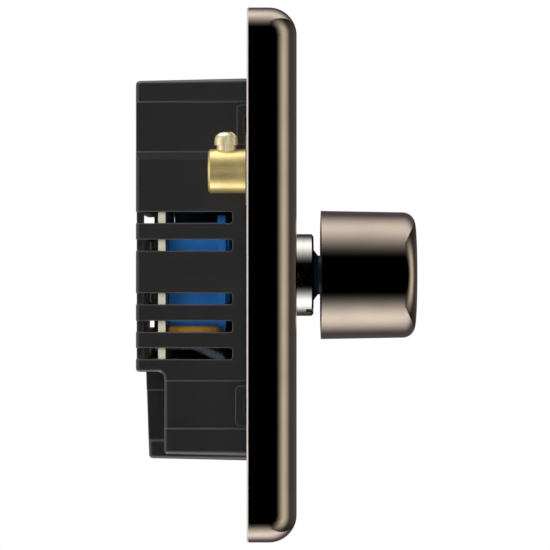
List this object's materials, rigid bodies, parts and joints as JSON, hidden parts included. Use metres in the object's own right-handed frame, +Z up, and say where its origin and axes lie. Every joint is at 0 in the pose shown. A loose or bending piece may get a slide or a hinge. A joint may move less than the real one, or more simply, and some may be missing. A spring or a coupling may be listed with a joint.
{
  "type": "rotary push dimmer switch",
  "caption": "Wall dimmer: raised square metal plate, plain round push-and-turn knob, vented plastic module behind with clamp terminals and an earth pillar.",
  "frame": {"origin": "on the spindle's axis, in the plane of the wall behind the plate", "axes": "+Z up, +X right seen from the front, the front faces -Y"},
  "size_m": [0.086, 0.0476, 0.086],
  "materials": {
    "black_nickel": "mirror-polished dark plating",
    "gasket_white": "thin pale plastic sheet",
    "brass": "turned, satin",
    "brass_screw": "bright turned",
    "tinned": "tinned copper strip",
    "nickel": "polished",
    "black_core": "moulded",
    "steel": "ground",
    "spring_steel": "drawn wire",
    "navy_plastic": "moulded",
    "blue_plastic": "moulded",
    "black_plastic": "fine-textured moulding",
    "white_plastic": "moulded",
    "bronze": "rolled spring bronze",
    "silver": "silver-faced",
    "carbon": "printed carbon",
    "phenolic": "phenolic paper sheet",
    "board": "glass-epoxy sheet",
    "solder": "soldered",
    "ferrite": "painted iron powder",
    "enamel_wire": "enamelled copper",
    "yellow_case": "moulded case",
    "amber_dip": "dipped resin",
    "blue_dip": "dipped resin",
    "can_sleeve": "shrink sleeve",
    "ceramic_white": "ceramic tube",
    "aluminium": "cut sheet",
    "device_black": "moulded package",
    "wire_sleeve": "wire insulation",
    "zinc_screw": "zinc plated",
    "paper": "blank label"
  },
  "bodies": {
    "housing": {"front_plate": "black_nickel", "wall_gasket": "gasket_white", "earth_terminal": "brass", "earth_strap": "tinned", "bush_nut": "nickel", "pot_bush": "navy_plastic", "pot_body": "blue_plastic", "pot_base": "blue_plastic", "pot_pins": "tinned", "track_plate": "phenolic", "resistive_track": "carbon", "fixed_contacts": "silver", "module_base": "black_plastic", "module_cover": "black_plastic", "rating_label": "paper", "circuit_board": "board", "choke_core": "ferrite", "choke_winding": "enamel_wire", "choke_leads": "tinned", "film_capacitor": "yellow_case", "electrolytic_capacitor": "can_sleeve", "disc_capacitor": "amber_dip", "varistor": "blue_dip", "fuse": "ceramic_white", "heatsink": "aluminium", "heatsink_screws": "zinc_screw", "controller_chip": "device_black", "surface_resistors": "device_black", "solder_joints": "solder", "transistor_1": "device_black", "transistor_2": "device_black", "line_terminal_1": "brass", "terminal_wire_1": "wire_sleeve", "line_terminal_2": "brass", "terminal_wire_2": "wire_sleeve", "line_terminal_3": "brass", "terminal_wire_3": "wire_sleeve"},
    "plunger": {"push_plunger": "white_plastic", "return_spring": "spring_steel"},
    "knob": {"knob_cap": "black_nickel", "knob_insert": "black_core", "spindle": "steel", "spindle_clip": "spring_steel"},
    "wiper": {"wiper_carrier": "white_plastic", "wiper_brush": "bronze"},
    "cam": {"ratchet_cam": "white_plastic"},
    "contact_bridge": {"moving_contact": "bronze"},
    "line_screw_1": {"terminal_screw_1": "brass_screw"},
    "line_screw_2": {"terminal_screw_2": "brass_screw"},
    "line_screw_3": {"terminal_screw_3": "brass_screw"},
    "earth_clamp_screw": {"earth_screw": "brass_screw"}
  },
  "joints": [
    {"name": "knob_push", "type": "slide", "parent": "housing", "child": "plunger", "axis": [0, 1, 0], "range_m": [0, 0.0012], "stiffness_N_per_m": 300, "springref_m": -0.0005, "deforming": ["return_spring"]},
    {"name": "knob_turn", "type": "hinge", "parent": "plunger", "child": "knob", "pos_m": [0, 0, 0], "axis": [0, -1, 0], "range_deg": [-140, 140]},
    {"name": "wiper_turn", "type": "hinge", "parent": "housing", "child": "wiper", "pos_m": [0, 0.006, 0], "axis": [0, -1, 0], "range_deg": [-140, 140]},
    {"name": "cam_turn", "type": "hinge", "parent": "housing", "child": "cam", "pos_m": [0, 0.009, 0], "axis": [0, 1, 0], "range_deg": [0, 45]},
    {"name": "contact_close", "type": "slide", "parent": "housing", "child": "contact_bridge", "axis": [0, 1, 0], "range_m": [0, 0.00055]},
    {"name": "line_screw_1_travel", "type": "slide", "parent": "housing", "child": "line_screw_1", "axis": [0, 0, 1], "range_m": [-0.002, 0.0032]},
    {"name": "line_screw_2_travel", "type": "slide", "parent": "housing", "child": "line_screw_2", "axis": [0, 0, 1], "range_m": [-0.002, 0.0032]},
    {"name": "line_screw_3_travel", "type": "slide", "parent": "housing", "child": "line_screw_3", "axis": [0, 0, 1], "range_m": [-0.002, 0.0032]},
    {"name": "earth_screw_travel", "type": "slide", "parent": "housing", "child": "earth_clamp_screw", "axis": [0, 0, -1], "range_m": [-0.0042, 0.0005]}
  ],
  "couplings": [
    {"joint": "wiper_turn", "follows": "knob_turn", "ratio": 1},
    {"joint": "cam_turn", "follows": "knob_push", "rad_per_m": 654.43},
    {"joint": "contact_close", "follows": "knob_push", "ratio": 0.45}
  ]
}
